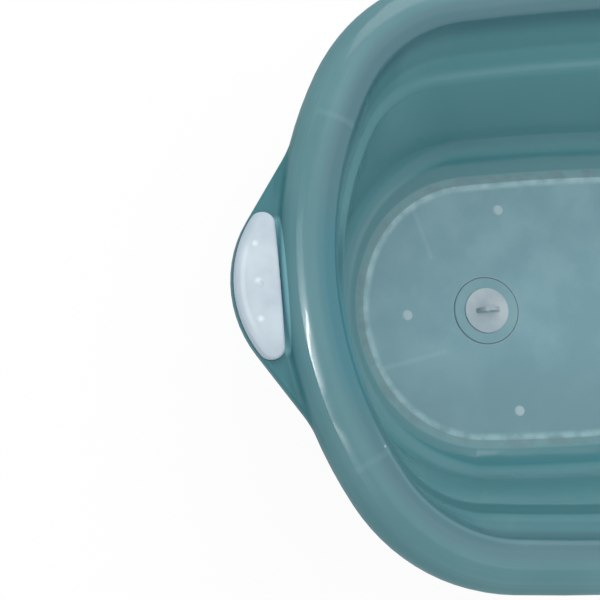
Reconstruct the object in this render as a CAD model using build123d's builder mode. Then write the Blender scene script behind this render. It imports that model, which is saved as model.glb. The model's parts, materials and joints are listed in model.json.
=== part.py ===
"""Baby bathtub: a translucent one-piece tub with a rolled rim, a grip lug at each end, a drain and rubber feet.

Frame: millimetres, +Z up, +X along the tub towards the head end. The origin is on the floor of the room,
under the middle of the tub. The foot end, which holds the drain, is at -X.
"""

import os
from math import asin, atan2, copysign, cos, hypot, pi, radians, sin, sqrt, tan

from build123d import *

# Mouth of the basin: a tangent-arc oval along the inside of the rim
HEIGHT = 250.0  # room floor to rim crest
MOUTH_LENGTH = 696.0
MOUTH_WIDTH = 416.0
MOUTH_END_RADIUS = 290.0
MOUTH_CORNER_RADIUS = 105.0
SIDE_RADIUS = 2000.0
WALL = 2.8

# Toe of the basin's wall, where it would meet the floor: runs are measured inwards from the mouth
FOOT_END_RUN = 49.0
HEAD_END_RUN = 115.0  # the head end slopes back
SIDE_RUN = 54.0
TOE_CORNER_EASE = 13.0  # by how much half the toe's width exceeds its corner radius
TOE_END_EASE = 20.0  # by how much the toe's end radius exceeds its corner radius
BOTTOM_RADIUS = 40.0  # rounding between wall and floor, inside
BASE_CLEARANCE = 14.0  # room floor to the underside of the basin floor

# Rolled rim, in section: s runs outwards from the mouth oval
RIM_WIDTH = 42.0
CREST_OFFSET = 20.0
CROWN_RADIUS = 32.0
LIP_RADIUS = 7.0
SHOULDER_RADIUS = 16.0
SKIRT_DROP = 26.0  # crest to the skirt's lower edge
LEDGE_DROP = 80.0  # crest to the middle of the stacking ledge, which is a soft step
LEDGE_WIDTH = 8.0
LEDGE_HEIGHT = 9.0
UPPER_RUN = 16.0  # how far the wall above the ledge leans in
LEDGE_HOLLOW = 14.0  # rounding at the ledge's upper corner
LEDGE_ROUND = 16.0  # rounding at its lower corner
LEDGE_TAIL = 6.0  # height of the straight end below the ledge, on which the basin's wall follows
TAIL_LEAN = 9.0  # degrees from vertical

# Gussets under the rim
GUSSET_THICKNESS = 2.4
GUSSET_DEPTH = 20.0  # below the crest
END_GUSSET_Y = 122.0
SIDE_GUSSET_X = 130.0

# Grip lugs
LUG_REACH = 35.0  # beyond the rim
LUG_TIP_RADIUS = 88.0
LUG_FLANK_ANGLE = 34.0
LUG_BLEND = 90.0  # plan radius between the flank and the rim's outer face
BLEND_LAP = 0.4  # how far the blend runs into that face
LUG_DROP = 18.0  # crest to the lug's top face
LUG_ROUND = 3.0
LUG_COVE = 4.0  # rounding between the rim's outer face and the lug
SEAM_REACH = 0.001  # height within which an edge counts as level with the lug

# Soft grips, set into the lugs
GRIP_LENGTH = 108.0
GRIP_BORDER = 1.2  # lug's edge to the grip
GRIP_SETBACK = 0.8  # grip's straight edge to the rim's outer face
GRIP_CORNER_RADIUS = 9.0
GRIP_GAP = 0.35
POCKET_DEPTH = 2.0
GRIP_HEIGHT = 10.0  # above the lug's top face
GRIP_CREST = 5.0  # the grip's highest line to its straight edge
GRIP_CROWN_RADIUS = 60.0
GRIP_LENGTH_RADIUS = 480.0
GRIP_ROUND = 2.6
GRIP_DIMPLE_RADIUS = 7.0
GRIP_DIMPLE_DEPTH = 0.6
STEM_RADIUS = 2.5
STEM_SPACING = 26.0
STEM_GAP = 0.2
BARB_RADIUS = 3.3
BARB_HEIGHT = 3.0

# Base ring and feet
RING_INSET = 2.5
RING_THICKNESS = 3.0
RING_LIFT = 1.5  # room floor to the ring, so that only the feet touch
FOOT_RADIUS = 11.0
FOOT_THICKNESS = 3.0
FOOT_ROUND = 0.8
PEG_RADIUS = 4.0
PEG_GAP = 0.1
PEG_END_GAP = 2.0
BOSS_WALL = 2.5
SOCKET_MARK = 0.4  # height of the round mark on the floor over each socket
FOOT_END_INSET = 39.0  # end feet, from the floor's ends
FOOT_SIDE_INSET = 26.0  # side feet, from the floor's long edges
FOOT_SPACING = 190.0  # between the side feet

# Drain
DRAIN_INSET = 116.0  # from the floor's foot end
DRAIN_FLANGE_RADIUS = 31.5
DRAIN_FLANGE_THICKNESS = 2.0
DRAIN_SLEEVE_RADIUS = 16.0
DRAIN_BORE_RADIUS = 12.5
DRAIN_GAP = 0.5
DRAIN_RECESS = 1.2  # depth of the flange's seat in the floor
DRAIN_LENGTH = 13.0
FLANGE_BEVEL = 0.8
GASKET_THICKNESS = 1.0
SEAT_TAPER = 12.0  # degrees from the drain's axis
SEAT_DEPTH = 7.0
NUT_RADIUS = 23.0
NUT_THICKNESS = 4.5
NUT_LUGS = 6
NUT_LUG_RADIUS = 4.0
THREAD_GAP = 0.1
STOPPER_GAP = 0.3
STOPPER_HEAD_RADIUS = 21.0
STOPPER_HEAD_THICKNESS = 2.2
STOPPER_CORE_RADIUS = 8.5
STOPPER_BEAD_RADIUS = 9.8
STOPPER_BEAD_HEIGHT = 2.2
SEAL_HEIGHT = 8.0
SEAL_GAP = 0.05
PULL_WIDTH = 22.0
PULL_HEIGHT = 12.0
PULL_THICKNESS = 4.0
PULL_HOLE_RADIUS = 4.0

FLOOR_TOP = BASE_CLEARANCE + WALL
LEDGE_TOP = HEIGHT - LEDGE_DROP + LEDGE_HEIGHT / 2
LEDGE_BOTTOM = LEDGE_TOP - LEDGE_HEIGHT
TAIL_BOTTOM = LEDGE_BOTTOM - LEDGE_TAIL
TAIL_RUN = LEDGE_TAIL * tan(radians(TAIL_LEAN))
SKIRT_BOTTOM = HEIGHT - SKIRT_DROP
LUG_TOP = HEIGHT - LUG_DROP
POCKET_FLOOR = LUG_TOP - POCKET_DEPTH
PLATE_UNDERSIDE = POCKET_FLOOR - WALL


class Oval:
    """A closed outline of tangent arcs, symmetric about the X axis, whose two ends may differ."""

    def __init__(self, left, right, half_width, end_radius, corner_radius, side_radius):
        self.left = left
        self.right = right
        self.half_width = half_width
        self.end_radius = end_radius
        self.corner_radius = corner_radius
        self.side_radius = side_radius

    def grown(self, distance):
        """The parallel oval this far outside."""
        return Oval(
            self.left - distance,
            self.right + distance,
            self.half_width + distance,
            self.end_radius + distance,
            self.corner_radius + distance,
            self.side_radius + distance,
        )

    def quarter(self, side):
        """Points of the upper quarter at one end: apex, end arc, corner arc and half of the side arc."""
        middle = (self.left + self.right) / 2
        apex = self.right if side > 0 else self.left
        end = (apex - side * self.end_radius, 0.0)
        flank = (middle, self.half_width - self.side_radius)
        corner = meeting_point(
            end, self.end_radius - self.corner_radius, flank, self.side_radius - self.corner_radius, side
        )
        leave = atan2(corner[1] - end[1], corner[0] - end[0])
        arrive = atan2(corner[1] - flank[1], corner[0] - flank[0])
        start = 0.0 if side > 0 else pi
        straight_up = pi / 2
        return [
            (apex, 0.0),
            on_circle(end, self.end_radius, (start + leave) / 2),
            on_circle(end, self.end_radius, leave),
            on_circle(corner, self.corner_radius, (leave + arrive) / 2),
            on_circle(flank, self.side_radius, arrive),
            on_circle(flank, self.side_radius, (arrive + straight_up) / 2),
            (middle, self.half_width),
        ]

    def draw(self):
        """The oval as twelve arcs in the active BuildLine, starting at the right apex."""
        right = self.quarter(1)
        left = self.quarter(-1)
        upper = right + left[-2::-1]
        lower = [(x, -y) for x, y in upper[-2::-1]]
        loop = upper + lower
        for i in range(0, len(loop) - 1, 2):
            ThreePointArc(loop[i], loop[i + 1], loop[i + 2])


def on_circle(centre, radius, angle):
    return (centre[0] + radius * cos(angle), centre[1] + radius * sin(angle))


def meeting_point(first, first_radius, second, second_radius, side):
    """Where two circles cross, above the X axis and furthest to one side."""
    across = (second[0] - first[0], second[1] - first[1])
    gap = hypot(*across)
    along = (gap**2 + first_radius**2 - second_radius**2) / (2 * gap)
    rise = sqrt(max(first_radius**2 - along**2, 0.0))
    base = (first[0] + along * across[0] / gap, first[1] + along * across[1] / gap)
    turn = (across[1] * rise / gap, -across[0] * rise / gap)
    found = [(base[0] + k * turn[0], base[1] + k * turn[1]) for k in (-1, 1)]
    return max(found, key=lambda point: side * point[0])


MOUTH = Oval(
    -MOUTH_LENGTH / 2,
    MOUTH_LENGTH / 2,
    MOUTH_WIDTH / 2,
    MOUTH_END_RADIUS,
    MOUTH_CORNER_RADIUS,
    SIDE_RADIUS,
)
TOE_CORNER_RADIUS = MOUTH.half_width - SIDE_RUN - TOE_CORNER_EASE
TOE = Oval(
    MOUTH.left + FOOT_END_RUN,
    MOUTH.right - HEAD_END_RUN,
    MOUTH.half_width - SIDE_RUN,
    TOE_CORNER_RADIUS + TOE_END_EASE,
    TOE_CORNER_RADIUS,
    SIDE_RADIUS,
)
BASIN_TOP = MOUTH.grown(-UPPER_RUN - LEDGE_WIDTH - TAIL_RUN)
SIDE_LEAN = atan2(BASIN_TOP.half_width - TOE.half_width, TAIL_BOTTOM - FLOOR_TOP)
FLOOR = TOE.grown(-BOTTOM_RADIUS * tan(pi / 4 - SIDE_LEAN / 2))
DRAIN_X = FLOOR.left + DRAIN_INSET


def lip_centre():
    """Centre of the lip's arc, which touches the crown's arc from inside."""
    reach = CROWN_RADIUS - LIP_RADIUS
    return (LIP_RADIUS, HEIGHT - CROWN_RADIUS + sqrt(reach**2 - (CREST_OFFSET - LIP_RADIUS) ** 2))


def upper_lean():
    """Lean from vertical of the wall above the ledge, which leaves the lip as a tangent."""
    lip = lip_centre()
    across = lip[0] + UPPER_RUN
    rise = lip[1] - LEDGE_TOP
    return atan2(across, rise) - asin(LIP_RADIUS / hypot(across, rise))


def under_corner(corner, lean, next_lean):
    """The point under a corner of the skin, where the wall's two undersides meet."""
    reach = WALL / (1 + cos(lean - next_lean))
    return (corner[0] + reach * (cos(lean) + cos(next_lean)), corner[1] - reach * (sin(lean) + sin(next_lean)))


def rim_arcs(inset):
    """Points of the rim section's lip, crown and shoulder arcs, in turn, at this depth in its skin."""
    crown = (CREST_OFFSET, HEIGHT - CROWN_RADIUS)
    lip = lip_centre()
    shoulder_s = RIM_WIDTH - SHOULDER_RADIUS
    shoulder_reach = CROWN_RADIUS - SHOULDER_RADIUS
    shoulder = (shoulder_s, crown[1] + sqrt(shoulder_reach**2 - (shoulder_s - CREST_OFFSET) ** 2))
    lip_start = pi - upper_lean()
    lip_turn = atan2(lip[1] - crown[1], lip[0] - crown[0])
    shoulder_turn = atan2(shoulder[1] - crown[1], shoulder[0] - crown[0])
    lip_radius = LIP_RADIUS - inset
    shoulder_radius = SHOULDER_RADIUS - inset
    crown_radius = CROWN_RADIUS - inset
    return [
        on_circle(lip, lip_radius, lip_start),
        on_circle(lip, lip_radius, (lip_start + lip_turn) / 2),
        on_circle(lip, lip_radius, lip_turn),
        on_circle(crown, crown_radius, (lip_turn + shoulder_turn) / 2),
        on_circle(shoulder, shoulder_radius, shoulder_turn),
        on_circle(shoulder, shoulder_radius, shoulder_turn / 2),
        on_circle(shoulder, shoulder_radius, 0.0),
    ]


def draw_rim_arcs(points):
    for i in range(0, len(points) - 1, 2):
        ThreePointArc(points[i], points[i + 1], points[i + 2])


def rim_plane():
    """The plane of the rim's section at the head end's apex: local X outwards, local Y up."""
    return Plane(origin=(MOUTH.right, 0, 0), x_dir=(1, 0, 0), z_dir=(0, -1, 0))


def lug_tip():
    """Centre of the lug's tip arc, at the head end."""
    return (MOUTH.right + RIM_WIDTH + LUG_REACH - LUG_TIP_RADIUS, 0.0)


def blend_centre():
    """Centre of the arc that blends the lug's flank into the rim's outer face, on the +Y side."""
    tip = lug_tip()
    rim = (MOUTH.right - MOUTH_END_RADIUS, 0.0)
    flank = radians(LUG_FLANK_ANGLE)
    start = on_circle(tip, LUG_TIP_RADIUS + LUG_BLEND, flank)
    away = (start[0] - rim[0], start[1] - rim[1])
    reach = MOUTH_END_RADIUS + RIM_WIDTH - BLEND_LAP + LUG_BLEND
    along = away[1] * cos(flank) - away[0] * sin(flank)
    slide = -along - sqrt(along**2 - away[0] ** 2 - away[1] ** 2 + reach**2)
    return (start[0] - slide * sin(flank), start[1] + slide * cos(flank))


def draw_lug(shrink):
    """The lug's outline, shrunk all round: its tip, its flanks and their blends into the rim."""
    flank = radians(LUG_FLANK_ANGLE)
    blend = blend_centre()
    turn = atan2(blend[1], blend[0] - MOUTH.right + MOUTH_END_RADIUS)
    tip_radius = LUG_TIP_RADIUS - shrink
    blend_radius = LUG_BLEND + shrink
    tangent = on_circle(lug_tip(), tip_radius, flank)
    start = on_circle(blend, blend_radius, pi + flank)
    halfway = on_circle(blend, blend_radius, pi + (flank + turn) / 2)
    end = on_circle(blend, blend_radius, pi + turn)
    root = (MOUTH.right + RIM_WIDTH / 4, end[1])
    ThreePointArc((tangent[0], -tangent[1]), on_circle(lug_tip(), tip_radius, 0.0), tangent)
    Polyline((root[0], -root[1]), root, end)
    Polyline((end[0], -end[1]), (root[0], -root[1]))
    Line(tangent, start)
    ThreePointArc(start, halfway, end)
    Line((tangent[0], -tangent[1]), (start[0], -start[1]))
    ThreePointArc((start[0], -start[1]), (halfway[0], -halfway[1]), (end[0], -end[1]))


def grip_edge():
    """Distance of the grip's straight edge from the middle of the tub."""
    return MOUTH.right + RIM_WIDTH + GRIP_SETBACK


def grip_tip():
    return MOUTH.right + RIM_WIDTH + LUG_REACH - GRIP_BORDER


def draw_grip(gap):
    """The grip's outline with this much room round it: it follows the lug's tip and is straight at the rim."""
    flank = radians(LUG_FLANK_ANGLE)
    half_length = GRIP_LENGTH / 2 + gap
    tangent = on_circle(lug_tip(), LUG_TIP_RADIUS - GRIP_BORDER + gap, flank)
    corner = (tangent[0] - (half_length - tangent[1]) * tan(flank), half_length)
    edge = (grip_edge() - gap, half_length)
    ThreePointArc((tangent[0], -tangent[1]), (grip_tip() + gap, 0.0), tangent)
    Polyline(tangent, corner, edge, (edge[0], -edge[1]), (corner[0], -corner[1]), (tangent[0], -tangent[1]))


def grip_top(x):
    """Height of the grip's top over its middle line, at this distance from the middle of the tub."""
    away = x - grip_edge() - GRIP_CREST
    return LUG_TOP + GRIP_HEIGHT - GRIP_CROWN_RADIUS + sqrt(GRIP_CROWN_RADIUS**2 - away**2)


def stem_places():
    """Centres of the three stems that hold a grip, at the head end."""
    middle = (grip_edge() + grip_tip()) / 2
    return [(middle, k * STEM_SPACING) for k in (-1, 0, 1)]


def foot_places():
    """Centres of the feet, by name."""
    floor_middle = (FLOOR.left + FLOOR.right) / 2
    side = FLOOR.half_width - FOOT_SIDE_INSET
    places = {
        "foot_left_end": (FLOOR.left + FOOT_END_INSET, 0.0),
        "foot_right_end": (FLOOR.right - FOOT_END_INSET, 0.0),
    }
    for end, x in (("left", floor_middle - FOOT_SPACING / 2), ("right", floor_middle + FOOT_SPACING / 2)):
        places[f"foot_front_{end}"] = (x, -side)
        places[f"foot_back_{end}"] = (x, side)
    return places


def gusset_planes():
    """The plane of each gusset's lower edge: local X runs outwards, local Y along its thickness."""
    planes = []
    level = HEIGHT - GUSSET_DEPTH
    centre = MOUTH.right - MOUTH_END_RADIUS
    turn = asin(END_GUSSET_Y / (MOUTH_END_RADIUS + RIM_WIDTH / 2))
    for side in (-1, 1):
        for angle in (-turn, turn):
            out = Vector(side * cos(angle), sin(angle), 0.0)
            planes.append(Plane(origin=Vector(side * centre, 0, level) + out * MOUTH_END_RADIUS, x_dir=out))
            flank = copysign(1, angle)
            planes.append(Plane(origin=(side * SIDE_GUSSET_X, flank * MOUTH.half_width, level), x_dir=(0, flank, 0)))
    return planes


# Rim section swept round the mouth, with the wall and the stacking ledge below its lip
skin = rim_arcs(0.0)
under = rim_arcs(WALL)
middle = rim_arcs(WALL / 2)
wall_lean = upper_lean()
ledge_lean = atan2(LEDGE_WIDTH, LEDGE_HEIGHT)
tail_lean = radians(TAIL_LEAN)
hollow_corner = (-UPPER_RUN, LEDGE_TOP)
round_corner = (-UPPER_RUN - LEDGE_WIDTH, LEDGE_BOTTOM)
under_hollow = under_corner(hollow_corner, wall_lean, ledge_lean)
under_round = under_corner(round_corner, ledge_lean, tail_lean)
tail_end = (round_corner[0] - TAIL_RUN, TAIL_BOTTOM)
with BuildPart() as rim:
    with BuildLine() as rim_path:
        MOUTH.draw()
    with BuildSketch(rim_plane()) as rim_section:
        with BuildLine():
            draw_rim_arcs(skin)
            Polyline(skin[-1], (RIM_WIDTH, SKIRT_BOTTOM), (RIM_WIDTH - WALL, SKIRT_BOTTOM), under[-1])
            draw_rim_arcs(under)
            Polyline(under[0], under_hollow, under_round, (tail_end[0] + WALL, TAIL_BOTTOM), tail_end)
            Polyline(tail_end, round_corner, hollow_corner, skin[0])
        make_face()
        for corner, rounding in (
            (hollow_corner, LEDGE_HOLLOW),
            (under_hollow, LEDGE_HOLLOW + WALL),
            (round_corner, LEDGE_ROUND),
            (under_round, LEDGE_ROUND - WALL),
        ):
            fillet(rim_section.vertices().sort_by_distance(Vector(*corner))[0], radius=rounding)
    sweep(path=rim_path.wires()[0])

# The space under the rim, from the middle of its skin down past its skirt: it bounds the lugs and the gussets
with BuildPart() as rim_core:
    with BuildLine() as core_path:
        MOUTH.draw()
    with BuildSketch(rim_plane()):
        with BuildLine():
            draw_rim_arcs(middle)
            core_bottom = SKIRT_BOTTOM - WALL
            core_corner = (middle[0][0] - (middle[0][1] - core_bottom) * tan(wall_lean), core_bottom)
            Polyline(middle[-1], (RIM_WIDTH - WALL / 2, core_bottom), core_corner, middle[0])
        make_face()
    sweep(path=core_path.wires()[0])

# Basin: a leaning wall and the floor, rounded together inside and out
with BuildPart() as basin:
    with BuildSketch(Plane.XY.offset(FLOOR_TOP - WALL)):
        with BuildLine():
            TOE.grown(WALL).draw()
        make_face()
    with BuildSketch(Plane.XY.offset(TAIL_BOTTOM)):
        with BuildLine():
            BASIN_TOP.grown(WALL).draw()
        make_face()
    loft(ruled=True)
    fillet(basin.faces().sort_by(Axis.Z)[0].edges(), radius=BOTTOM_RADIUS + WALL)

with BuildPart() as hollow:
    with BuildSketch(Plane.XY.offset(FLOOR_TOP)):
        with BuildLine():
            TOE.draw()
        make_face()
    with BuildSketch(Plane.XY.offset(TAIL_BOTTOM)):
        with BuildLine():
            BASIN_TOP.draw()
        make_face()
    loft(ruled=True)
    fillet(hollow.faces().sort_by(Axis.Z)[0].edges(), radius=BOTTOM_RADIUS)

# A lug: a plate with a turned-down edge
with BuildPart() as lug:
    with BuildSketch(Plane.XY.offset(SKIRT_BOTTOM)):
        with BuildLine():
            draw_lug(0.0)
        make_face()
    extrude(amount=LUG_TOP - SKIRT_BOTTOM)
    outline_edges = lug.faces().sort_by(Axis.Z)[-1].edges().sort_by(Axis.X)[3:]
    fillet(outline_edges, radius=LUG_ROUND)
    with BuildSketch(Plane.XY.offset(SKIRT_BOTTOM)):
        with BuildLine():
            draw_lug(WALL)
        make_face()
    extrude(amount=PLATE_UNDERSIDE - SKIRT_BOTTOM, mode=Mode.SUBTRACT)
    add(rim_core.part, mode=Mode.SUBTRACT)

# A grip's pocket in its lug, with holes for the stems
with BuildPart() as pocket:
    with BuildSketch(Plane.XY.offset(POCKET_FLOOR)) as pocket_outline:
        with BuildLine():
            draw_grip(GRIP_GAP)
        make_face()
        pocket_corners = pocket_outline.vertices().group_by(Axis.Y)
        fillet(pocket_corners[0] + pocket_corners[-1], radius=GRIP_CORNER_RADIUS + GRIP_GAP)
    extrude(amount=HEIGHT - POCKET_FLOOR)
    with BuildSketch(Plane.XY.offset(PLATE_UNDERSIDE)):
        with Locations(*stem_places()):
            Circle(STEM_RADIUS + STEM_GAP)
    extrude(amount=POCKET_FLOOR - PLATE_UNDERSIDE)

# Gussets under the rim
with BuildPart() as gussets:
    for plane in gusset_planes():
        with BuildSketch(plane):
            with Locations((RIM_WIDTH / 2, 0)):
                Rectangle(RIM_WIDTH + 2 * UPPER_RUN, GUSSET_THICKNESS)
    extrude(amount=GUSSET_DEPTH)
    add(rim_core.part, mode=Mode.INTERSECT)

# Tub: rim, basin, a lug at each end, gussets, base ring, sockets for the feet and the drain's seat
with BuildPart() as tub:
    add(basin.part)
    add(hollow.part, mode=Mode.SUBTRACT)
    add(rim.part)
    add(lug.part)
    add(lug.part.mirror(Plane.YZ))
    seams = tub.edges().filter_by_position(Axis.Z, LUG_TOP - SEAM_REACH, LUG_TOP + SEAM_REACH)
    fillet(seams.sort_by(SortBy.LENGTH)[-2:], radius=LUG_COVE)
    add(pocket.part, mode=Mode.SUBTRACT)
    add(pocket.part.mirror(Plane.YZ), mode=Mode.SUBTRACT)
    add(gussets.part)
    with BuildSketch(Plane.XY.offset(RING_LIFT)):
        with BuildLine():
            FLOOR.grown(-RING_INSET).draw()
        make_face()
        with BuildLine():
            FLOOR.grown(-RING_INSET - RING_THICKNESS).draw()
        make_face(mode=Mode.SUBTRACT)
    extrude(amount=FLOOR_TOP - WALL / 2 - RING_LIFT)
    with BuildSketch(Plane.XY.offset(FOOT_THICKNESS)):
        with Locations(*foot_places().values()):
            Circle(PEG_RADIUS + PEG_GAP + BOSS_WALL)
            Circle(PEG_RADIUS + PEG_GAP, mode=Mode.SUBTRACT)
    extrude(amount=FLOOR_TOP - WALL / 2 - FOOT_THICKNESS)
    with BuildSketch(Plane.XY.offset(FLOOR_TOP - WALL)):
        with Locations((DRAIN_X, 0)):
            Circle(DRAIN_SLEEVE_RADIUS + DRAIN_GAP)
    extrude(amount=WALL, mode=Mode.SUBTRACT)
    with BuildSketch(Plane.XY.offset(FLOOR_TOP - DRAIN_RECESS)):
        with Locations((DRAIN_X, 0)):
            Circle(DRAIN_FLANGE_RADIUS + DRAIN_GAP)
    extrude(amount=DRAIN_RECESS, mode=Mode.SUBTRACT)
    with BuildSketch(Plane.XY.offset(FLOOR_TOP)):
        with Locations(*foot_places().values()):
            Circle(PEG_RADIUS)
    extrude(amount=SOCKET_MARK)
tub.part.label = "tub_shell"

# The space under a grip's top, which is crowned across and along
with BuildPart() as grip_space:
    with BuildSketch(Plane.XZ):
        with BuildLine():
            inner = grip_edge() - WALL
            outer = grip_tip() + WALL
            between = (inner + outer) / 2
            ThreePointArc((inner, grip_top(inner)), (between, grip_top(between)), (outer, grip_top(outer)))
            Polyline(
                (outer, grip_top(outer)), (outer, SKIRT_BOTTOM), (inner, SKIRT_BOTTOM), (inner, grip_top(inner))
            )
        make_face()
    grip_axis = Axis((0, 0, LUG_TOP + GRIP_HEIGHT - GRIP_LENGTH_RADIUS), (1, 0, 0))
    revolve(axis=grip_axis)

# Soft grips: a crowned pad and three barbed stems that snap through the lug's plate
with BuildPart() as right_grip:
    with BuildSketch(Plane.XY.offset(POCKET_FLOOR)) as pad:
        with BuildLine():
            draw_grip(0.0)
        make_face()
        pad_corners = pad.vertices().group_by(Axis.Y)
        fillet(pad_corners[0] + pad_corners[-1], radius=GRIP_CORNER_RADIUS)
    extrude(amount=LUG_TOP + GRIP_HEIGHT + WALL - POCKET_FLOOR)
    add(grip_space.part, mode=Mode.INTERSECT)
    fillet(right_grip.faces().sort_by(Axis.Z)[-1].edges(), radius=GRIP_ROUND)
    dimple_lift = GRIP_DIMPLE_RADIUS - GRIP_DIMPLE_DEPTH
    with Locations(*[(x, y, grip_top(x) + dimple_lift) for x, y in stem_places()]):
        Sphere(GRIP_DIMPLE_RADIUS, mode=Mode.SUBTRACT)
    barb_top = PLATE_UNDERSIDE - STEM_GAP
    with BuildSketch(Plane.XY.offset(barb_top)):
        with Locations(*stem_places()):
            Circle(STEM_RADIUS)
    extrude(amount=POCKET_FLOOR - barb_top)
    with Locations(*[(x, y, barb_top) for x, y in stem_places()]):
        Cone(STEM_RADIUS, BARB_RADIUS, BARB_HEIGHT, align=(Align.CENTER, Align.CENTER, Align.MAX))
right_grip.part.label = "right_grip"
left_grip = right_grip.part.mirror(Plane.YZ)
left_grip.label = "left_grip"

# Feet: a round pad with a peg that presses into its socket
with BuildPart() as foot:
    Cylinder(FOOT_RADIUS, FOOT_THICKNESS, align=(Align.CENTER, Align.CENTER, Align.MIN))
    fillet(foot.faces().sort_by(Axis.Z)[0].edges(), radius=FOOT_ROUND)
    with BuildSketch(Plane.XY.offset(FOOT_THICKNESS)):
        Circle(PEG_RADIUS)
    extrude(amount=BASE_CLEARANCE - PEG_END_GAP - FOOT_THICKNESS)
    chamfer(foot.faces().sort_by(Axis.Z)[-1].edges(), length=FOOT_ROUND)
feet = {name: foot.part.moved(Location((*place, 0))) for name, place in foot_places().items()}
for name, piece in feet.items():
    piece.label = name

# Drain outlet: a flange in the floor's recess, a sleeve through the floor and a tapered seat
seat_narrowing = SEAT_DEPTH * tan(radians(SEAT_TAPER))
flange_under = FLOOR_TOP - DRAIN_RECESS
flange_top = flange_under + DRAIN_FLANGE_THICKNESS
with BuildPart() as outlet:
    with BuildSketch(Plane.XZ):
        with BuildLine():
            Polyline(
                (DRAIN_BORE_RADIUS, flange_top - DRAIN_LENGTH),
                (DRAIN_SLEEVE_RADIUS, flange_top - DRAIN_LENGTH),
                (DRAIN_SLEEVE_RADIUS, flange_under),
                (DRAIN_FLANGE_RADIUS, flange_under),
                (DRAIN_FLANGE_RADIUS, flange_top - FLANGE_BEVEL),
                (DRAIN_FLANGE_RADIUS - FLANGE_BEVEL, flange_top),
                (DRAIN_BORE_RADIUS + seat_narrowing, flange_top),
                (DRAIN_BORE_RADIUS, flange_top - SEAT_DEPTH),
                close=True,
            )
        make_face()
    revolve(axis=Axis.Z)
drain_outlet = outlet.part.moved(Location((DRAIN_X, 0, 0)))
drain_outlet.label = "drain_outlet"

# Gasket and ring nut, under the floor
with BuildPart() as gasket:
    with BuildSketch(Plane.XY.offset(FLOOR_TOP - WALL - GASKET_THICKNESS)):
        with Locations((DRAIN_X, 0)):
            Circle(NUT_RADIUS)
            Circle(DRAIN_SLEEVE_RADIUS + DRAIN_GAP, mode=Mode.SUBTRACT)
    extrude(amount=GASKET_THICKNESS)
gasket.part.label = "drain_gasket"

with BuildPart() as nut:
    with BuildSketch(Plane.XY.offset(FLOOR_TOP - WALL - GASKET_THICKNESS - NUT_THICKNESS)):
        with Locations((DRAIN_X, 0)):
            Circle(NUT_RADIUS)
        with Locations((DRAIN_X, 0)):
            with PolarLocations(NUT_RADIUS, NUT_LUGS):
                Circle(NUT_LUG_RADIUS)
        with Locations((DRAIN_X, 0)):
            Circle(DRAIN_SLEEVE_RADIUS + THREAD_GAP, mode=Mode.SUBTRACT)
    extrude(amount=NUT_THICKNESS)
nut.part.label = "drain_nut"

# Stopper: a domed head with a pull tab above and a core below, which holds the soft tapered seal
head_under = flange_top + STOPPER_GAP
head_top = head_under + STOPPER_HEAD_THICKNESS
seal_bottom = head_under - SEAL_HEIGHT
bead_top = seal_bottom - SEAL_GAP
seal_radius = DRAIN_BORE_RADIUS - STOPPER_GAP
with BuildPart() as stopper:
    with BuildSketch(Plane.XZ):
        with BuildLine():
            Polyline(
                (0, bead_top - STOPPER_BEAD_HEIGHT),
                (STOPPER_BEAD_RADIUS, bead_top - STOPPER_BEAD_HEIGHT),
                (STOPPER_BEAD_RADIUS, bead_top),
                (STOPPER_CORE_RADIUS, bead_top),
                (STOPPER_CORE_RADIUS, head_under),
                (STOPPER_HEAD_RADIUS, head_under),
                (STOPPER_HEAD_RADIUS, head_under + STOPPER_HEAD_THICKNESS / 2),
            )
            ThreePointArc(
                (STOPPER_HEAD_RADIUS, head_under + STOPPER_HEAD_THICKNESS / 2),
                (STOPPER_HEAD_RADIUS / 2, head_top + STOPPER_HEAD_THICKNESS / 4),
                (0, head_top + STOPPER_HEAD_THICKNESS / 2),
            )
            Line((0, head_top + STOPPER_HEAD_THICKNESS / 2), (0, bead_top - STOPPER_BEAD_HEIGHT))
        make_face()
    revolve(axis=Axis.Z)
    with BuildSketch(Plane.XZ.offset(-PULL_THICKNESS / 2)):
        with Locations((0, head_top + PULL_HEIGHT - PULL_WIDTH / 2)):
            Circle(PULL_WIDTH / 2)
        with Locations((0, head_top)):
            Rectangle(PULL_WIDTH, PULL_HEIGHT, align=(Align.CENTER, Align.MIN), mode=Mode.INTERSECT)
        with Locations((0, head_top + PULL_HEIGHT / 2)):
            Circle(PULL_HOLE_RADIUS, mode=Mode.SUBTRACT)
    extrude(amount=PULL_THICKNESS)
stopper_piece = stopper.part.moved(Location((DRAIN_X, 0, 0)))
stopper_piece.label = "stopper"

with BuildPart() as seal:
    with BuildSketch(Plane.XZ):
        with BuildLine():
            Polyline(
                (STOPPER_CORE_RADIUS + SEAL_GAP, seal_bottom),
                (seal_radius, seal_bottom),
                (seal_radius, flange_top - SEAT_DEPTH),
                (seal_radius + seat_narrowing, flange_top),
                (seal_radius + seat_narrowing, head_under - SEAL_GAP),
                (STOPPER_CORE_RADIUS + SEAL_GAP, head_under - SEAL_GAP),
                close=True,
            )
        make_face()
    revolve(axis=Axis.Z)
stopper_seal = seal.part.moved(Location((DRAIN_X, 0, 0)))
stopper_seal.label = "stopper_seal"

os.makedirs("parts", exist_ok=True)
pieces = [tub.part, left_grip, right_grip.part, drain_outlet, gasket.part, nut.part, stopper_piece, stopper_seal]
for piece in pieces + list(feet.values()):
    export_step(piece, f"parts/{piece.label}.step")
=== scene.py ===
"""Looks of the baby bathtub: translucent teal plastic, pale soft grips, and a pale drain and feet.

The tub and its grips are painted by their own coordinates, in metres: x runs along the tub, from the foot
end at its left to the head end at its right, y from its front to its back, and z up from the room's floor.
The origin is under the tub's middle.
"""

import json
import math
from typing import NamedTuple

import bpy
from mathutils import Matrix, Vector


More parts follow.
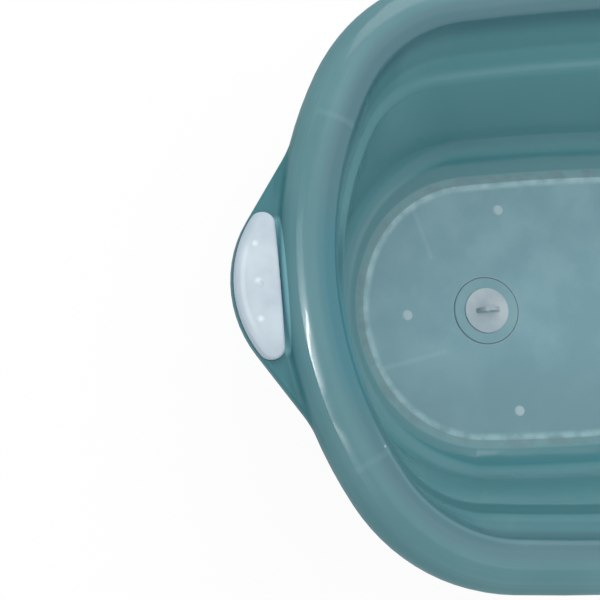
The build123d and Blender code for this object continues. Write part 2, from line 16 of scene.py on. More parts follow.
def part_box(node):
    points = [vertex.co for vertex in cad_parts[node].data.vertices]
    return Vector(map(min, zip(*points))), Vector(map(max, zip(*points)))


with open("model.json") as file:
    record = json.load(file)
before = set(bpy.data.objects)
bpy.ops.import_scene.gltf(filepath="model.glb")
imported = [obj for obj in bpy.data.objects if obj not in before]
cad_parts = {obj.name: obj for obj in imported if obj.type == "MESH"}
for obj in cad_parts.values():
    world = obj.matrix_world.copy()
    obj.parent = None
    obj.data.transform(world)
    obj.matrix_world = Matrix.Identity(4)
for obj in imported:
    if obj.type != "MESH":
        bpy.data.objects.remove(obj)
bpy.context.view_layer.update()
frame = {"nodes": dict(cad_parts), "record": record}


class Oval(NamedTuple):
    """An oval in plan: the middle of its length, half its length and width, and the radii of its arcs."""

    middle: float
    half_length: float
    half_width: float
    end: float
    corner: float
    side: float

    def inset(self, by):
        return Oval(self.middle, *(size - by for size in self[1:]))


# Camera: it looks down on the left lug from a little beyond it, turned about its line of sight
CAMERA_TARGET = Vector((-0.3777, -0.0126, 0.240))
CAMERA_DISTANCE = 0.9
CAMERA_AZIMUTH = math.radians(-57.56)
CAMERA_ELEVATION = math.radians(75.04)
CAMERA_ROLL = math.radians(53.60)
SENSOR_WIDTH = 36.0
FOCAL_LENGTH = 74.9
CLIP_END = 20.0

# The tub's outlines in plan: the basin's mouth, the toe of its wall, and the flat floor inside the toe
MOUTH = Oval(middle=0.0, half_length=0.348, half_width=0.208, end=0.290, corner=0.105, side=2.0)
TOE = Oval(middle=-0.033, half_length=0.266, half_width=0.154, end=0.161, corner=0.141, side=2.0)
FLOOR_INSET = 0.0327
FLOOR = TOE.inset(FLOOR_INSET)

# The tub's other sizes and places
RIM_WIDTH = 0.042
GUSSET_Y = 0.122
LEDGE_LEVEL = 0.170
LUG_TIP_X = 0.425
LUG_TIP_RADIUS = 0.088
GRIP_EDGE_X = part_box("right_grip")[0].x  # the grip's straight edge
FEET = [node for node in frame["nodes"] if node.startswith("foot_")]

# A zone of paint is a pair or a triple of distances or heights. A pair gives where a soft step starts and
# stops, and a triple gives where a band starts and stops and how wide the soft edges outside it are.

# Zones on the rim, the wall and the lugs, by how far they lie outside the mouth's oval
WALL_EDGE = (-0.004, 0.001)
UNDER_LIP = (-0.009, -0.003, 0.004)
INNER_RIM = (0.001, 0.012, 0.008)
LIP_HIGHLIGHT = (0.0030, 0.0045, 0.0014)
STREAK = (0.004, 0.030, 0.006)
LEDGE = (-0.030, -0.010, 0.003)
BELOW_LIP = (-0.024, -0.001, 0.002)
DULL_SIDE = (0.034, 0.039)
LUG_EDGE = (0.0405, 0.0425)
CREASE = (0.0425, 0.0480, 0.0030)

# Heights at which that paint starts or stops
RIM_BOTTOM = (0.205, 0.225)
UNDER_LIP_BOTTOM = (0.19, 0.20)
LEDGE_FACE = (LEDGE_LEVEL - 0.003, LEDGE_LEVEL + 0.004, 0.005)
BELOW_LIP_BOTTOM = (0.155, 0.165)
SHOULDER_HIGHLIGHT_BOTTOM = (0.222, 0.226)

# Where it starts or stops along and across the tub, and the places of small marks
BLUE_ENDS = (0.24, 0.30)
BLUE_MIDDLE_Y = -0.02
BLUE_HALF_WIDTH = (0.04, 0.11)
LIP_HIGHLIGHT_FRONT = (-0.125, -0.100)
LEDGE_BACK = (0.025, 0.075)
BELOW_LIP_END = (-0.30, -0.26)
BELOW_LIP_Y = (-0.065, -0.005, 0.030)
STREAK_HALF_WIDTH = (0.0004, 0.0040)
FRONT_STREAK_TURN = math.radians(2.2)
LUG_ENDS = (0.30, 0.33)
CREASE_Y = (0.080, 0.108, 0.024)
SHOULDER_HIGHLIGHT = (GRIP_EDGE_X - 0.0042, GRIP_EDGE_X - 0.0006, 0.0006)
SHOULDER_HIGHLIGHT_END = (0.047, 0.053)
GLINT_PLACE = (-0.326, -0.122)
GLINT_RADIUS = (0.0003, 0.0016)

# Zones round the basin's floor, by how far they lie outside its oval
FLOOR_EDGE = (-0.001, 0.0015)
RING_START = (-0.0050, 0.0)
RING_STOP = (0.0020, 0.0036)
MOTTLE_START = (0.0, 0.002)
MOTTLE_STOP = (0.0075, 0.0115)
MOTTLE_RAGGEDNESS = 0.008
DEEP_START = (0.0095, 0.0120)
DEEP_STOP = (0.0145, 0.0185)
LOWER_BAND_HIGHLIGHT = (0.0205, 0.0265, 0.0040)

# The bands round the floor climb the wall from the tub's ends towards its middle
CLIMB_MOST = 0.0115
CLIMB_SLOPE = -0.116
CLIMB_UNLIMITED = 0.0321  # what the slope alone would give at the tub's middle
DEEP_CLIMB_SHARE = 0.9

# Heights at which the paint on and round the floor starts or stops: the floor's top is at 0.0168
BANDS_TOP = (0.070, 0.085)
FLAT_TOP = (0.0175, 0.020)
SEAT_TOP = (0.0180, 0.0190)
SPOT_TOP = (0.019, 0.020)
SPOT_BOTTOM = (0.0160, 0.0164)

# Marks on the floor, and its shaded front and brighter back
SEAT_GAP = (0.0001, 0.0009, 0.0002)  # outside the drain's flange
SPOT_RADIUS = (0.0038, 0.0056)
FLOOR_FRONT = (-0.09, -0.02)
RING_BACK = (-0.06, 0.06)
FLOOR_LINES = (((-0.215, 0.111), (-0.199, 0.053)), ((-0.262, -0.049), (-0.195, -0.036)))
LINE_HALF_WIDTH = (0.0006, 0.0036)

# Zones on a grip, by how far they lie inside its curved edge, and its three dimples' painted highlights
GRIP_OUTER_EDGE = (0.001, 0.0075)
GRIP_RIDGE = (0.0064, 0.0074, 0.002)
GRIP_RIDGE_END = (0.022, 0.040)
DIMPLE_SPACING = 0.0275
DIMPLE_SHIFT = 0.003
DIMPLE_RADIUS = (0.0004, 0.0034)

# The colour sockets of a Mix node, which shares its sockets' names with other data types
MIX_A = 6
MIX_B = 7
MIX_RESULT = 2

# Colours, linear
TEAL = (0.066, 0.204, 0.230)
TEAL_INNER_RIM = (0.066, 0.180, 0.213)
TEAL_BLUE = (0.042, 0.188, 0.232)
TEAL_LIT_WALL = (0.145, 0.365, 0.400)
TEAL_CLOUD_AND_LEDGE_LIGHT = (0.165, 0.340, 0.385)
TEAL_BAND_HIGHLIGHT = (0.185, 0.385, 0.430)
TEAL_LIT_FLOOR = (0.180, 0.385, 0.450)
TEAL_FLOOR_SHADE = (0.150, 0.320, 0.370)
TEAL_RING = (0.400, 0.650, 0.690)
TEAL_MOTTLE = (0.175, 0.360, 0.400)
TEAL_MOTTLE_DARK = (0.150, 0.295, 0.330)
TEAL_DEEP_SHADE = (0.090, 0.285, 0.325)
TEAL_LUG = (0.034, 0.180, 0.215)
TEAL_CREASE_SHADE = (0.010, 0.130, 0.145)
TEAL_SHOULDER_HIGHLIGHT = (0.190, 0.460, 0.515)
TEAL_LIP_SHADE = (0.055, 0.165, 0.190)
TEAL_BELOW_LIP = (0.095, 0.290, 0.350)
TEAL_STREAK = (0.150, 0.300, 0.330)
MARK = (0.45, 0.62, 0.68)
GRIP = (0.375, 0.455, 0.520)
# Pale grip tone, also used for the painted highlights on the grips and the rim's painted glint
GRIP_PALE_AND_HIGHLIGHT = (0.68, 0.77, 0.82)
GRIP_OUTER_SHADE = (0.29, 0.38, 0.45)
FITTING = (0.52, 0.60, 0.63)
SEAL = (0.42, 0.49, 0.52)
FOOT = (0.50, 0.58, 0.61)
ROOM_FLOOR = (0.86, 0.87, 0.88)

# How strongly the thin coats of paint cover what is under them
TUB_CLOUDING = 0.25
UNDER_LIP_SHADE = 0.3
FLOW_STRENGTH = 0.22
BLUE_LEAST = 0.3  # on the rim's outer half
LIP_HIGHLIGHT_STRENGTH = 0.3
GLINT_STRENGTH = 0.35
LEDGE_LIGHT = 0.45
LEDGE_SHADE = 0.8
BELOW_LIP_STRENGTH = 0.8
STREAK_STRENGTH = 0.45
CREASE_SHADE_STRENGTH = 0.5
MOTTLE_LEAST = 0.45
FLOOR_CLOUDING = 0.25
FLOOR_FRONT_SHADE = 0.6
RING_SPECKLING = 0.6
RING_BACK_GAIN = 0.3
RING_LEAST = 0.1
LINE_STRENGTH = 0.17
GRIP_CLOUDING = 0.35
GRIP_OUTER_SHADE_STRENGTH = 0.55
RIDGE_HIGHLIGHT_STRENGTH = 0.28
DIMPLE_HIGHLIGHT_STRENGTH = 0.65

# Noises: scale per metre and detail
TUB_CLOUDS = (9.0, 4.0)
TUB_GLOSS = (40.0, 3.0)
TUB_WAVES = (16.0, 2.0)
TUB_GRAIN = (420.0, 2.0)
RIM_CLOUDS = (14.0, 4.0)
FLOW_LINES = (1.0, 2.0)
FLOW_BREAKS = (7.0, 2.0)
FLOW_SCALE_ACROSS = 260.0
FLOOR_CLOUDS = (22.0, 5.0)
FLOOR_SPECKLE = (75.0, 4.0)
GRIP_CLOUDS = (30.0, 3.0)
GRIP_GLOSS = (120.0, 3.0)
GRIP_GRAIN = (260.0, 3.0)
SATIN_CLOUDS = (35.0, 3.0)
SATIN_GLOSS = (160.0, 3.0)
SATIN_DETAIL = 3.0

# Contrasts: the values of a noise that become 0 and 1
CLOUD_CONTRAST = (0.3, 0.7)
GLOSS_CONTRAST = (0.2, 0.8)
FLOW_CONTRAST = (0.45, 0.75)
FLOW_BREAK_CONTRAST = (0.35, 0.65)
MOTTLE_CONTRAST = (0.34, 0.66)
MOTTLE_FADING = (0.3, 0.6)
FLOOR_CONTRAST = (0.35, 0.7)
RING_CONTRAST = (0.25, 0.65)

# Surfaces: roughness from low to high, and bumps as strength and distance
TUB_ROUGHNESS = (0.20, 0.26)
DULL_ROUGHNESS = 0.30  # added on the rim's outer side and on the lugs
COAT_WEIGHT = 0.35
COAT_ROUGHNESS = 0.06
TRANSLUCENT_SHARE = 0.15
WAVE_HEIGHT = 0.0008
GRAIN_HEIGHT = 0.000012
TUB_BUMP = (0.35, 1.0)
GRIP_ROUGHNESS = (0.38, 0.48)
GRIP_BUMP = (0.2, 0.0001)
SATIN_BUMP = (0.25, 0.0002)
FITTING_ROUGHNESS = (0.28, 0.38)
RUBBER_ROUGHNESS = (0.5, 0.65)
ROOM_FLOOR_ROUGHNESS = 0.9

# Room: its floor shows this share of pure white to the camera and in reflections, and the rest is lit and
# keeps the tub's shadow
ROOM_FLOOR_SIZE = 8.0
WHITE_SHARE = 0.92
WORLD_STRENGTH = 1.0

# Strip lamps whose reflections run along the rim's crest beside the left lug, end to end at one height
STRIP_HEIGHT = 1.45
STRIP_TARGET = Vector((-0.37, -0.06, 0.248))
STRIP_BEND = ((-0.73, 0.085), (-0.88, -0.04), (-0.90, -0.17), (-0.73, -0.28))
STRIP_WIDTH = 0.045
STRIP_RADIANCE = 60.0
FADING_END = (-0.70, -0.38)
FADING_WIDTH = 0.06
FADING_RADIANCE = 4.0
FAINT_END = (-0.80, 0.42)
FAINT_WIDTH = 0.20
FAINT_RADIANCE = 2.4


def make_camera():
    """The scene's camera, placed by its target, distance and angles."""
    back = Vector((
        math.sin(CAMERA_AZIMUTH) * math.cos(CAMERA_ELEVATION),
        -math.cos(CAMERA_AZIMUTH) * math.cos(CAMERA_ELEVATION),
        math.sin(CAMERA_ELEVATION),
    ))
    level = Vector((math.cos(CAMERA_AZIMUTH), math.sin(CAMERA_AZIMUTH), 0.0))
    above = back.cross(level)
    right = math.cos(CAMERA_ROLL) * level + math.sin(CAMERA_ROLL) * above
    up = back.cross(right)
    data = bpy.data.cameras.new("camera")
    data.sensor_width = SENSOR_WIDTH
    data.lens = FOCAL_LENGTH
    data.clip_end = CLIP_END
    camera = bpy.data.objects.new("camera", data)
    turn = Matrix((right, up, back)).transposed().to_4x4()
    camera.matrix_world = Matrix.Translation(CAMERA_TARGET + CAMERA_DISTANCE * back) @ turn
    bpy.context.collection.objects.link(camera)
    bpy.context.scene.camera = camera


class Field:
    """A value in a node tree: arithmetic on it adds Math nodes."""

    def __init__(self, tree, socket):
        self.tree = tree
        self.socket = socket

    def math(self, operation, other=None):
        node = self.tree.nodes.new("ShaderNodeMath")
        node.operation = operation
        self.tree.links.new(self.socket, node.inputs[0])
        if isinstance(other, Field):
            self.tree.links.new(other.socket, node.inputs[1])
        elif other is not None:
            node.inputs[1].default_value = other
        return Field(self.tree, node.outputs[0])

    def __add__(self, other):
        return self.math("ADD", other)

    def __sub__(self, other):
        return self.math("SUBTRACT", other)

    def __mul__(self, other):
        return self.math("MULTIPLY", other)

    def __abs__(self):
        return self.math("ABSOLUTE")

    def at_most(self, limit):
        return self.math("MINIMUM", limit)

    def at_least(self, limit):
        return self.math("MAXIMUM", limit)

    def above(self, level):
        """1 above the level and 0 below it."""
        return self.math("GREATER_THAN", level)

    def opposite(self):
        """One less this value."""
        return self * -1.0 + 1.0

    def between(self, low, high):
        """A value from low to high, by this value from 0 to 1."""
        return self * (high - low) + low

    def rise(self, start, stop):
        """A smooth step from 0 at start to 1 at stop."""
        node = self.tree.nodes.new("ShaderNodeMapRange")
        node.interpolation_type = "SMOOTHSTEP"
        node.inputs["From Min"].default_value = start
        node.inputs["From Max"].default_value = stop
        self.tree.links.new(self.socket, node.inputs["Value"])
        return Field(self.tree, node.outputs["Result"])

    def fall(self, start, stop):
        """A smooth step from 1 at start to 0 at stop."""
        return self.rise(start, stop).opposite()

    def band(self, start, stop, soft):
        """1 between start and stop, with soft edges outside them."""
        return self.rise(start - soft, start) * self.fall(stop, stop + soft)

    def choose(self, when_one, when_zero):
        """One of two values, by this 0 or 1."""
        return when_one * self + when_zero * self.opposite()


def length(across, along):
    return (across * across + along * along).math("SQRT")


def object_place(tree):
    """The object's own x, y and z, and the vector they come from."""
    coordinates = tree.nodes.new("ShaderNodeTexCoord")
    split = tree.nodes.new("ShaderNodeSeparateXYZ")
    tree.links.new(coordinates.outputs["Object"], split.inputs[0])
    return [Field(tree, split.outputs[i]) for i in range(3)], coordinates.outputs["Object"]


def noise(tree, vector, scale, detail):
    node = tree.nodes.new("ShaderNodeTexNoise")
    node.inputs["Scale"].default_value = scale
    node.inputs["Detail"].default_value = detail
    tree.links.new(vector, node.inputs["Vector"])
    return Field(tree, node.outputs[0])


def oval_distance(x, y, oval):
    """How far outside an oval of tangent arcs a place is, in plan.

    The lines through the arcs' centres part the plane into the sectors of the end, corner and side arcs.
    """
    u = abs(x - oval.middle)
    v = abs(y)
    end_u = oval.half_length - oval.end
    side_v = oval.half_width - oval.side
    reach = math.hypot(end_u, side_v)
    first = oval.end - oval.corner
    second = oval.side - oval.corner
    along = (reach**2 + first**2 - second**2) / (2 * reach)
    rise = math.sqrt(max(first**2 - along**2, 0.0))
    toward = (-end_u / reach, side_v / reach)
    corner_u = end_u + along * toward[0] - rise * toward[1]
    corner_v = along * toward[1] + rise * toward[0]
    if corner_v < 0:
        corner_u = end_u + along * toward[0] + rise * toward[1]
        corner_v = along * toward[1] - rise * toward[0]
    end = length(u - end_u, v) - oval.end
    corner = length(u - corner_u, v - corner_v) - oval.corner
    side = length(u, v - side_v) - oval.side
    at_end = ((u - end_u) * corner_v - v * (corner_u - end_u)).above(0.0)
    at_side = ((v - side_v) * corner_u - u * (corner_v - side_v)).above(0.0)
    return at_end.choose(end, at_side.choose(side, corner))


def line_distance(x, y, start, stop):
    """Distance in plan from the straight line between two places."""
    run = Vector(stop) - Vector(start)
    along = (x - start[0]) * (run.x / run.length_squared)
    across = (y - start[1]) * (run.y / run.length_squared)
    share = (along + across).at_least(0.0).at_most(1.0)
    return length(x - start[0] - share * run.x, y - start[1] - share * run.y)


def node_distance(x, y, node):
    """Distance in plan from the middle of a node."""
    low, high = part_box(node)
    middle = (low + high) / 2
    return length(x - middle.x, y - middle.y)


def mixed(tree, share, first, second):
    """A colour between two, each a triple or a socket."""
    node = tree.nodes.new("ShaderNodeMix")
    node.data_type = "RGBA"
    node.clamp_factor = True
    tree.links.new(share.socket, node.inputs["Factor"])
    for socket, colour in ((node.inputs[MIX_A], first), (node.inputs[MIX_B], second)):
        if isinstance(colour, tuple):
            socket.default_value = (*colour, 1)
        else:
            tree.links.new(colour, socket)
    return node.outputs[MIX_RESULT]


def node_material(name):
    """A new material with its tree, its Principled shader and its output."""
    material = bpy.data.materials.new(name)
    material.use_nodes = True
    tree = material.node_tree
    return material, tree, tree.nodes["Principled BSDF"], tree.nodes["Material Output"]


def add_bump(tree, height, shader, strength, distance):
    bump = tree.nodes.new("ShaderNodeBump")
    bump.inputs["Strength"].default_value = strength
    bump.inputs["Distance"].default_value = distance
    tree.links.new(height.socket, bump.inputs["Height"])
    tree.links.new(bump.outputs[0], shader.inputs["Normal"])


def mix_shaders(tree, first, second, output):
    """A Mix Shader node between two shaders, linked to the material's output."""
    mix = tree.nodes.new("ShaderNodeMixShader")
    tree.links.new(first.outputs[0], mix.inputs[1])
    tree.links.new(second.outputs[0], mix.inputs[2])
    tree.links.new(mix.outputs[0], output.inputs["Surface"])
    return mix


def satin(name, colour, pale, roughness, grain_scale):
    """A plain satin plastic or rubber: clouded colour, uneven gloss and a fine grain."""
    material, tree, shader, _ = node_material(name)
    _, vector = object_place(tree)
    cloud = noise(tree, vector, *SATIN_CLOUDS).rise(*CLOUD_CONTRAST)
    tree.links.new(mixed(tree, cloud, colour, pale), shader.inputs["Base Color"])
    gloss = noise(tree, vector, *SATIN_GLOSS).rise(*GLOSS_CONTRAST).between(*roughness)
    tree.links.new(gloss.socket, shader.inputs["Roughness"])
    add_bump(tree, noise(tree, vector, grain_scale, SATIN_DETAIL), shader, *SATIN_BUMP)
    return material


def flow_lines(tree, out, vector):
    """Faint uneven lines that run along the rim."""
    across = tree.nodes.new("ShaderNodeCombineXYZ")
    tree.links.new((out * FLOW_SCALE_ACROSS).socket, across.inputs[0])
    lines = noise(tree, across.outputs[0], *FLOW_LINES).rise(*FLOW_CONTRAST)
    breaks = noise(tree, vector, *FLOW_BREAKS).rise(*FLOW_BREAK_CONTRAST)
    return lines * breaks


def paint_rim(tree, x, y, z, out, vector, colour):
    """The wall, painted lighter than the rim as painted light, the painted shade under the lip, and the
    rim, whose inner half is bluer beside a lug, with a painted highlight along its lip and a painted
    glint.
    """
    # Painted light: the inside of the mouth is painted lighter than the rim.
    colour = mixed(tree, out.fall(*WALL_EDGE), colour, TEAL_LIT_WALL)
    # Painted shade under the lip.
    under_lip = out.band(*UNDER_LIP) * z.rise(*UNDER_LIP_BOTTOM)
    colour = mixed(tree, under_lip * UNDER_LIP_SHADE, colour, TEAL_LIP_SHADE)

    high = z.rise(*RIM_BOTTOM)
    lines = flow_lines(tree, out, vector) * high * out.above(0.0)
    colour = mixed(tree, lines * FLOW_STRENGTH, colour, TEAL_STREAK)
    inner = out.band(*INNER_RIM) * high
    colour = mixed(tree, inner, colour, TEAL_INNER_RIM)
    by_lug = abs(y - BLUE_MIDDLE_Y).fall(*BLUE_HALF_WIDTH) * abs(x).rise(*BLUE_ENDS)
    colour = mixed(tree, inner.between(BLUE_LEAST, 1.0) * by_lug * high, colour, TEAL_BLUE)

    # A painted highlight along the lip, at the front.
    lip_highlight = out.band(*LIP_HIGHLIGHT) * high * y.fall(*LIP_HIGHLIGHT_FRONT)
    colour = mixed(tree, lip_highlight * LIP_HIGHLIGHT_STRENGTH, colour, TEAL_STREAK)
    # A painted glint on the lip.
    glint = length(x - GLINT_PLACE[0], y - GLINT_PLACE[1]).fall(*GLINT_RADIUS) * high
    return mixed(tree, glint * GLINT_STRENGTH, colour, GRIP_PALE_AND_HIGHLIGHT)


def paint_streaks(tree, x, y, z, out, vector, colour):
    """A pale streak across the rim over each gusset beside a lug."""
    patches = noise(tree, vector, *RIM_CLOUDS) * STREAK_STRENGTH
    turn = math.asin(GUSSET_Y / (MOUTH.end + RIM_WIDTH / 2))
    across = abs(x) - (MOUTH.half_length - MOUTH.end)
    for side, angle in ((1.0, turn), (-1.0, turn + FRONT_STREAK_TURN)):
        from_gusset = abs(across * math.sin(angle) - y * (side * math.cos(angle)))
        near = from_gusset.fall(*STREAK_HALF_WIDTH) * across.above(0.0) * (y * side).above(0.0)
        streak = near * out.band(*STREAK) * z.rise(*RIM_BOTTOM)
        colour = mixed(tree, streak * patches, colour, TEAL_STREAK)
    return colour


def paint_ledge(tree, x, y, z, out, colour):
    """The stacking ledge, with painted light along the back and painted shade elsewhere, and a light
    stretch under the lip.
    """
    ledge = z.band(*LEDGE_FACE) * out.band(*LEDGE)
    at_back = y.rise(*LEDGE_BACK)
    # Painted light on the ledge along the back, and painted shade on the rest of it.
    colour = mixed(tree, ledge * at_back * LEDGE_LIGHT, colour, TEAL_CLOUD_AND_LEDGE_LIGHT)
    colour = mixed(tree, ledge * at_back.opposite() * LEDGE_SHADE, colour, TEAL_LIP_SHADE)
    below_lip = out.band(*BELOW_LIP) * y.band(*BELOW_LIP_Y) * z.rise(*BELOW_LIP_BOTTOM)
    at_left = x.fall(*BELOW_LIP_END)
    return mixed(tree, below_lip * at_left * BELOW_LIP_STRENGTH, colour, TEAL_BELOW_LIP)


def paint_lugs(tree, x, y, z, out, colour):
    """The lugs, darker than the rim, with painted shade in the crease at each flank and a painted
    highlight on the rim's shoulder beside the grip.
    """
    at_end = abs(x).rise(*LUG_ENDS)
    colour = mixed(tree, out.rise(*LUG_EDGE) * at_end, colour, TEAL_LUG)
    # Painted shade in the crease where each lug's flank meets the rim.
    crease_shade = out.band(*CREASE) * abs(y).band(*CREASE_Y) * at_end
    colour = mixed(tree, crease_shade * CREASE_SHADE_STRENGTH, colour, TEAL_CREASE_SHADE)
    # A painted highlight on the rim's shoulder, in a strip beside the grip's straight edge.
    shoulder_highlight = abs(x).band(*SHOULDER_HIGHLIGHT) * abs(y).fall(*SHOULDER_HIGHLIGHT_END) * z.rise(*SHOULDER_HIGHLIGHT_BOTTOM)
    return mixed(tree, shoulder_highlight, colour, TEAL_SHOULDER_HIGHLIGHT)


def paint_bands(tree, x, z, edge, cloud, speckle, colour):
    """The painted highlight band, the painted shade band and the mottled band on the wall's foot, outside
    the floor's painted bright edge.
    """
    low = z.fall(*BANDS_TOP)
    climb = (abs(x) * CLIMB_SLOPE + CLIMB_UNLIMITED).at_least(0.0).at_most(CLIMB_MOST)
    # A painted highlight band where the wall rounds into the floor.
    colour = mixed(tree, (edge - climb).band(*LOWER_BAND_HIGHLIGHT) * low, colour, TEAL_BAND_HIGHLIGHT)
    # A band of painted shade outside the mottled band.
    deep_shade = edge.rise(*DEEP_START) * (edge - climb * DEEP_CLIMB_SHARE).fall(*DEEP_STOP) * low
    colour = mixed(tree, deep_shade, colour, TEAL_DEEP_SHADE)
    ragged_edge = edge + speckle * MOTTLE_RAGGEDNESS - MOTTLE_RAGGEDNESS / 2
    mottle = edge.rise(*MOTTLE_START) * ragged_edge.fall(*MOTTLE_STOP) * low
    spotted = mixed(tree, speckle.rise(*MOTTLE_CONTRAST), TEAL_MOTTLE_DARK, TEAL_MOTTLE)
    fading = cloud.rise(*MOTTLE_FADING).between(MOTTLE_LEAST, 1.0)
    return mixed(tree, mottle * fading, colour, spotted)


def paint_floor(tree, x, y, z, vector, colour):
    """The basin's floor, painted lighter as painted light shining through it, with its painted bright edge
    and marks, and the bands round it.
    """
    edge = oval_distance(x, y, FLOOR)
    cloud = noise(tree, vector, *FLOOR_CLOUDS)
    speckle = noise(tree, vector, *FLOOR_SPECKLE)
    colour = paint_bands(tree, x, z, edge, cloud, speckle, colour)

    # Painted light: the flat floor is painted lighter than the wall, and clouded.
    flat = edge.fall(*FLOOR_EDGE) * z.fall(*FLAT_TOP)
    clouded = mixed(tree, cloud.rise(*FLOOR_CONTRAST), TEAL_LIT_FLOOR, TEAL_RING)
    colour = mixed(tree, flat, colour, TEAL_LIT_FLOOR)
    colour = mixed(tree, flat * FLOOR_CLOUDING, colour, clouded)
    # Painted shade on the floor's front.
    colour = mixed(tree, flat * y.fall(*FLOOR_FRONT) * FLOOR_FRONT_SHADE, colour, TEAL_FLOOR_SHADE)

    # Painted light along the floor's bright edge, speckled and stronger at the back.
    ring = edge.rise(*RING_START) * edge.fall(*RING_STOP) * z.fall(*BANDS_TOP)
    speckling = speckle.rise(*RING_CONTRAST) * RING_SPECKLING
    glow = speckling + y.rise(*RING_BACK) * RING_BACK_GAIN + RING_LEAST
    colour = mixed(tree, ring * glow, colour, TEAL_RING)
    for start, stop in FLOOR_LINES:
        line = line_distance(x, y, start, stop).fall(*LINE_HALF_WIDTH) * flat
        colour = mixed(tree, line * LINE_STRENGTH, colour, TEAL_RING)

    low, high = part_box("drain_outlet")
    from_flange = node_distance(x, y, "drain_outlet") - (high.x - low.x) / 2
    # Painted light on the wall of the gap round the drain's flange, which lightens its shade.
    colour = mixed(tree, from_flange.band(*SEAT_GAP) * z.fall(*SEAT_TOP), colour, GRIP)
    for foot in FEET:
        spot = node_distance(x, y, foot).fall(*SPOT_RADIUS) * z.fall(*SPOT_TOP) * z.rise(*SPOT_BOTTOM)
        colour = mixed(tree, spot, colour, MARK)
    return colour


def tub_plastic():
    """Translucent teal plastic, glossy but for the rim's outer side and the lugs."""
    material, tree, shader, output = node_material("tub_plastic")
    (x, y, z), vector = object_place(tree)
    out = oval_distance(x, y, MOUTH)
    cloud = noise(tree, vector, *TUB_CLOUDS).rise(*CLOUD_CONTRAST)
    colour = mixed(tree, cloud * TUB_CLOUDING, TEAL, TEAL_CLOUD_AND_LEDGE_LIGHT)
    colour = paint_rim(tree, x, y, z, out, vector, colour)
    colour = paint_streaks(tree, x, y, z, out, vector, colour)
    colour = paint_ledge(tree, x, y, z, out, colour)
    colour = paint_lugs(tree, x, y, z, out, colour)
    colour = paint_floor(tree, x, y, z, vector, colour)
    tree.links.new(colour, shader.inputs["Base Color"])

    dull = out.rise(*DULL_SIDE)
    gloss = noise(tree, vector, *TUB_GLOSS).rise(*GLOSS_CONTRAST).between(*TUB_ROUGHNESS)
    tree.links.new((gloss + dull * DULL_ROUGHNESS).socket, shader.inputs["Roughness"])
    tree.links.new((dull.opposite() * COAT_WEIGHT).socket, shader.inputs["Coat Weight"])
    shader.inputs["Coat Roughness"].default_value = COAT_ROUGHNESS
    waves = noise(tree, vector, *TUB_WAVES) * WAVE_HEIGHT
    grain = noise(tree, vector, *TUB_GRAIN) * GRAIN_HEIGHT
    add_bump(tree, waves + grain, shader, *TUB_BUMP)

    glow = tree.nodes.new("ShaderNodeBsdfTranslucent")
    tree.links.new(colour, glow.inputs["Color"])
    mix_shaders(tree, shader, glow, output).inputs[0].default_value = TRANSLUCENT_SHARE
    return material


def grip_rubber():
    """Pale satin rubber with painted shade along its curved edge, a painted highlight on the soft ridge
    inside it, and painted highlights at its three dimples.
    """
    material, tree, shader, _ = node_material("soft_grip")
    (x, y, _), vector = object_place(tree)
    cloud = noise(tree, vector, *GRIP_CLOUDS).rise(*CLOUD_CONTRAST)
    colour = mixed(tree, cloud * GRIP_CLOUDING, GRIP, GRIP_PALE_AND_HIGHLIGHT)
    inside = length(abs(x) - (LUG_TIP_X - LUG_TIP_RADIUS), y) * -1.0 + LUG_TIP_RADIUS
    # Painted shade where the grip's curved edge rolls down.
    outer_shade = inside.fall(*GRIP_OUTER_EDGE)
    colour = mixed(tree, outer_shade * GRIP_OUTER_SHADE_STRENGTH, colour, GRIP_OUTER_SHADE)
    # A painted highlight on the soft ridge inside the curved edge.
    ridge_highlight = inside.band(*GRIP_RIDGE) * abs(y).fall(*GRIP_RIDGE_END)
    colour = mixed(tree, ridge_highlight * RIDGE_HIGHLIGHT_STRENGTH, colour, GRIP_PALE_AND_HIGHLIGHT)
    low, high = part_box("right_grip")
    # Painted highlights at the three dimples, a little off their middles.
    for k in (-1, 0, 1):
        across = y - (k * DIMPLE_SPACING + DIMPLE_SHIFT)
        dimple_highlight = length(abs(x) - (low.x + high.x) / 2, across).fall(*DIMPLE_RADIUS)
        colour = mixed(tree, dimple_highlight * DIMPLE_HIGHLIGHT_STRENGTH, colour, GRIP_PALE_AND_HIGHLIGHT)
    tree.links.new(colour, shader.inputs["Base Color"])
    gloss = noise(tree, vector, *GRIP_GLOSS).rise(*GLOSS_CONTRAST).between(*GRIP_ROUGHNESS)
    tree.links.new(gloss.socket, shader.inputs["Roughness"])
    add_bump(tree, noise(tree, vector, *GRIP_GRAIN), shader, *GRIP_BUMP)
    return material


def make_floor():
    """A plain pale floor, nearly white to the camera and in reflections, with the tub's soft shadow."""
    bpy.ops.mesh.primitive_plane_add(size=ROOM_FLOOR_SIZE, location=(0, 0, 0))
    floor = bpy.context.object
    floor.name = "floor"
    material, tree, shader, output = node_material("floor_paint")
    shader.inputs["Base Color"].default_value = (*ROOM_FLOOR, 1)
    shader.inputs["Roughness"].default_value = ROOM_FLOOR_ROUGHNESS
    path = tree.nodes.new("ShaderNodeLightPath")
    seen = Field(tree, path.outputs["Is Camera Ray"])
    for ray in ("Is Glossy Ray", "Is Transmission Ray"):
        seen = seen.at_least(Field(tree, path.outputs[ray]))
    white = tree.nodes.new("ShaderNodeEmission")
    mix = mix_shaders(tree, shader, white, output)
    tree.links.new((seen * WHITE_SHARE).socket, mix.inputs[0])
    floor.data.materials.append(material)


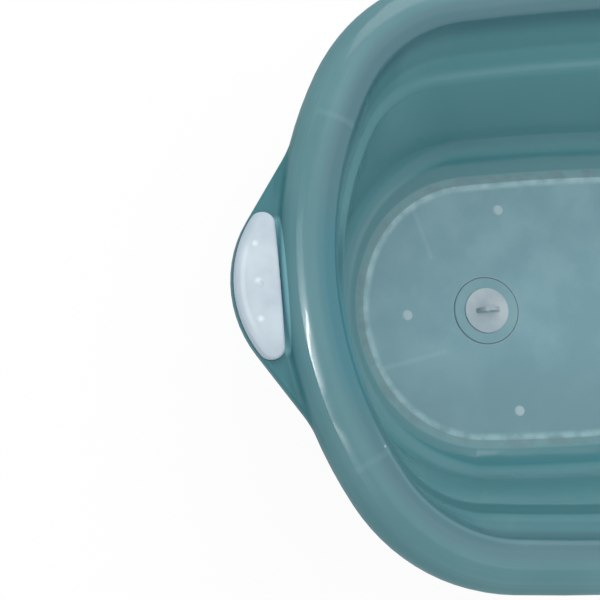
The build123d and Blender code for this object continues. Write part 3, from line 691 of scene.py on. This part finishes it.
def strip_light(name, start, stop, width, radiance):
    """A narrow lamp from start to stop at the strips' height, which faces the left lug.

    It is there for its reflection alone, and its power gives it the same radiance at any length and width.
    """
    run = Vector((*stop, STRIP_HEIGHT)) - Vector((*start, STRIP_HEIGHT))
    middle = Vector((*start, STRIP_HEIGHT)) + run / 2
    data = bpy.data.lights.new(name, "AREA")
    data.shape = "RECTANGLE"
    data.size = run.length
    data.size_y = width
    data.energy = radiance * math.pi * run.length * width
    along = run.normalized()
    away = middle - STRIP_TARGET
    away = (away - away.dot(along) * along).normalized()
    lamp = bpy.data.objects.new(name, data)
    turn = Matrix((along, away.cross(along), away)).transposed().to_4x4()
    lamp.matrix_world = Matrix.Translation(middle) @ turn
    lamp.visible_diffuse = False
    bpy.context.collection.objects.link(lamp)


def area_light(name, place, target, size, power):
    """A square lamp that faces its target."""
    data = bpy.data.lights.new(name, "AREA")
    data.shape = "SQUARE"
    data.size = size
    data.energy = power
    lamp = bpy.data.objects.new(name, data)
    lamp.location = place
    lamp.rotation_euler = (Vector(target) - Vector(place)).to_track_quat("-Z", "Y").to_euler()
    bpy.context.collection.objects.link(lamp)


def make_lights():
    """An even white room, two soft lamps, and the strips whose reflections run along the rim's crest."""
    world = bpy.data.worlds.new("studio")
    world.use_nodes = True
    world.node_tree.nodes["Background"].inputs["Color"].default_value = (1, 1, 1, 1)
    world.node_tree.nodes["Background"].inputs["Strength"].default_value = WORLD_STRENGTH
    bpy.context.scene.world = world
    area_light("overhead", place=(0.2, 0.3, 1.9), target=(0, 0, 0.1), size=1.6, power=4)
    area_light("back_fill", place=(0.1, 1.5, 1.3), target=(-0.1, -0.1, 0.1), size=1.2, power=10)
    for i, (start, stop) in enumerate(zip(STRIP_BEND, STRIP_BEND[1:])):
        strip_light(f"strip_{i}", start, stop, STRIP_WIDTH, STRIP_RADIANCE)
    strip_light("strip_fading", STRIP_BEND[-1], FADING_END, FADING_WIDTH, FADING_RADIANCE)
    strip_light("strip_faint", STRIP_BEND[0], FAINT_END, FAINT_WIDTH, FAINT_RADIANCE)


MATERIALS = {
    "tub_plastic": tub_plastic(),
    "soft_grip": grip_rubber(),
    "fitting_plastic": satin("fitting_plastic", FITTING, GRIP, FITTING_ROUGHNESS, grain_scale=300.0),
    "seal_rubber": satin("seal_rubber", SEAL, FITTING, RUBBER_ROUGHNESS, grain_scale=500.0),
    "foot_rubber": satin("foot_rubber", FOOT, FITTING, RUBBER_ROUGHNESS, grain_scale=400.0),
}

make_camera()
make_floor()
make_lights()
for part in frame["record"]["subparts"]:
    node = frame["nodes"][part["node"]]
    node.data.materials.clear()
    node.data.materials.append(MATERIALS[part["material_slot"]])

bpy.context.scene.view_settings.view_transform = "Standard"
